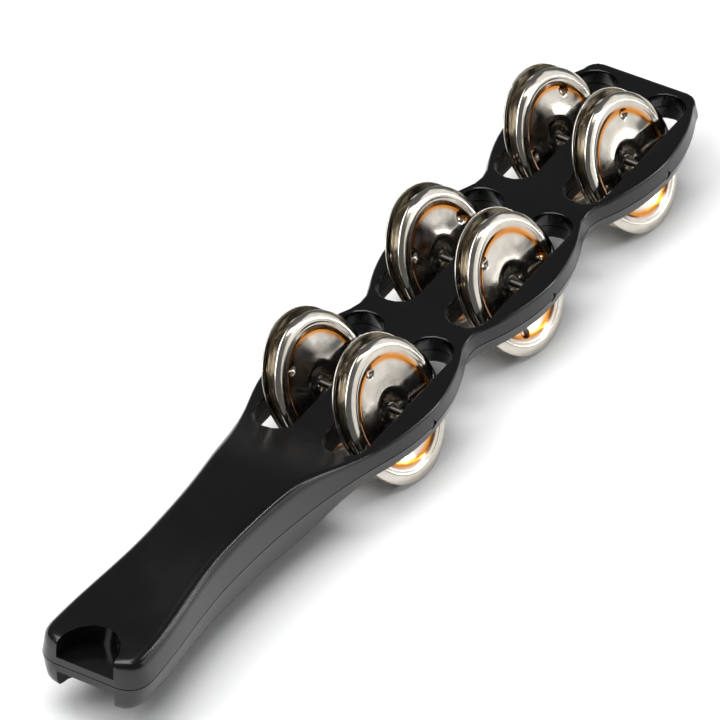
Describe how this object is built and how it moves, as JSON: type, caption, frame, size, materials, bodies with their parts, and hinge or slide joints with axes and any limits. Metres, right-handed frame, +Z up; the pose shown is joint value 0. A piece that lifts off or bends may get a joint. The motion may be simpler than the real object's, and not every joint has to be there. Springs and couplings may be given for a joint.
{
  "type": "tambourine stick",
  "caption": "Hand-held jingle stick: slotted black plastic plate and grip, with pairs of pressed metal jingles that rock on cross pins.",
  "frame": {"origin": "under the middle of the bounding box, on the surface that the jingles' rims rest on", "axes": "+X along the stick from the grip to the flat tip, +Y across the plate, +Z up out of the plate's upper face"},
  "size_m": [0.3204, 0.0544, 0.0383],
  "materials": {
    "black_plastic": "moulded black plastic, semi-gloss",
    "pin_steel": "drawn steel wire",
    "nickel": "nickel-plated pressed steel"
  },
  "bodies": {
    "stick": {"upper_shell": "black_plastic", "lower_shell": "black_plastic", "pin_handle": "pin_steel", "pin_middle": "pin_steel", "pin_tip": "pin_steel"},
    "jingle_handle_right_outer": {"jingle_handle_right_outer": "nickel"},
    "jingle_handle_right_inner": {"jingle_handle_right_inner": "nickel"},
    "jingle_handle_left_inner": {"jingle_handle_left_inner": "nickel"},
    "jingle_handle_left_outer": {"jingle_handle_left_outer": "nickel"},
    "jingle_middle_right_outer": {"jingle_middle_right_outer": "nickel"},
    "jingle_middle_right_inner": {"jingle_middle_right_inner": "nickel"},
    "jingle_middle_left_inner": {"jingle_middle_left_inner": "nickel"},
    "jingle_middle_left_outer": {"jingle_middle_left_outer": "nickel"},
    "jingle_tip_right_outer": {"jingle_tip_right_outer": "nickel"},
    "jingle_tip_right_inner": {"jingle_tip_right_inner": "nickel"},
    "jingle_tip_left_inner": {"jingle_tip_left_inner": "nickel"},
    "jingle_tip_left_outer": {"jingle_tip_left_outer": "nickel"}
  },
  "joints": [
    {"name": "rock_handle_right_outer", "type": "hinge", "parent": "stick", "child": "jingle_handle_right_outer", "pos_m": [-0.01465, -0.01406, 0.01917], "axis": [1, 0, 0], "range_deg": [0, 46]},
    {"name": "rock_handle_right_inner", "type": "hinge", "parent": "stick", "child": "jingle_handle_right_inner", "pos_m": [-0.01465, -0.00994, 0.01917], "axis": [1, 0, 0], "range_deg": [0, 46]},
    {"name": "rock_handle_left_inner", "type": "hinge", "parent": "stick", "child": "jingle_handle_left_inner", "pos_m": [-0.01465, 0.00994, 0.01917], "axis": [1, 0, 0], "range_deg": [0, 46]},
    {"name": "rock_handle_left_outer", "type": "hinge", "parent": "stick", "child": "jingle_handle_left_outer", "pos_m": [-0.01465, 0.01406, 0.01917], "axis": [1, 0, 0], "range_deg": [0, 46]},
    {"name": "rock_middle_right_outer", "type": "hinge", "parent": "stick", "child": "jingle_middle_right_outer", "pos_m": [0.05535, -0.01406, 0.01917], "axis": [1, 0, 0], "range_deg": [0, 46]},
    {"name": "rock_middle_right_inner", "type": "hinge", "parent": "stick", "child": "jingle_middle_right_inner", "pos_m": [0.05535, -0.00994, 0.01917], "axis": [1, 0, 0], "range_deg": [0, 46]},
    {"name": "rock_middle_left_inner", "type": "hinge", "parent": "stick", "child": "jingle_middle_left_inner", "pos_m": [0.05535, 0.00994, 0.01917], "axis": [1, 0, 0], "range_deg": [0, 46]},
    {"name": "rock_middle_left_outer", "type": "hinge", "parent": "stick", "child": "jingle_middle_left_outer", "pos_m": [0.05535, 0.01406, 0.01917], "axis": [1, 0, 0], "range_deg": [0, 46]},
    {"name": "rock_tip_right_outer", "type": "hinge", "parent": "stick", "child": "jingle_tip_right_outer", "pos_m": [0.12535, -0.01406, 0.01917], "axis": [1, 0, 0], "range_deg": [0, 46]},
    {"name": "rock_tip_right_inner", "type": "hinge", "parent": "stick", "child": "jingle_tip_right_inner", "pos_m": [0.12535, -0.00994, 0.01917], "axis": [1, 0, 0], "range_deg": [0, 46]},
    {"name": "rock_tip_left_inner", "type": "hinge", "parent": "stick", "child": "jingle_tip_left_inner", "pos_m": [0.12535, 0.00994, 0.01917], "axis": [1, 0, 0], "range_deg": [0, 46]},
    {"name": "rock_tip_left_outer", "type": "hinge", "parent": "stick", "child": "jingle_tip_left_outer", "pos_m": [0.12535, 0.01406, 0.01917], "axis": [1, 0, 0], "range_deg": [0, 46]}
  ],
  "couplings": [
    {"joint": "rock_handle_right_outer", "follows": "rock_handle_right_inner", "ratio": 1},
    {"joint": "rock_handle_left_outer", "follows": "rock_handle_left_inner", "ratio": 1},
    {"joint": "rock_middle_right_outer", "follows": "rock_middle_right_inner", "ratio": 1},
    {"joint": "rock_middle_left_outer", "follows": "rock_middle_left_inner", "ratio": 1},
    {"joint": "rock_tip_right_outer", "follows": "rock_tip_right_inner", "ratio": 1},
    {"joint": "rock_tip_left_outer", "follows": "rock_tip_left_inner", "ratio": 1}
  ]
}
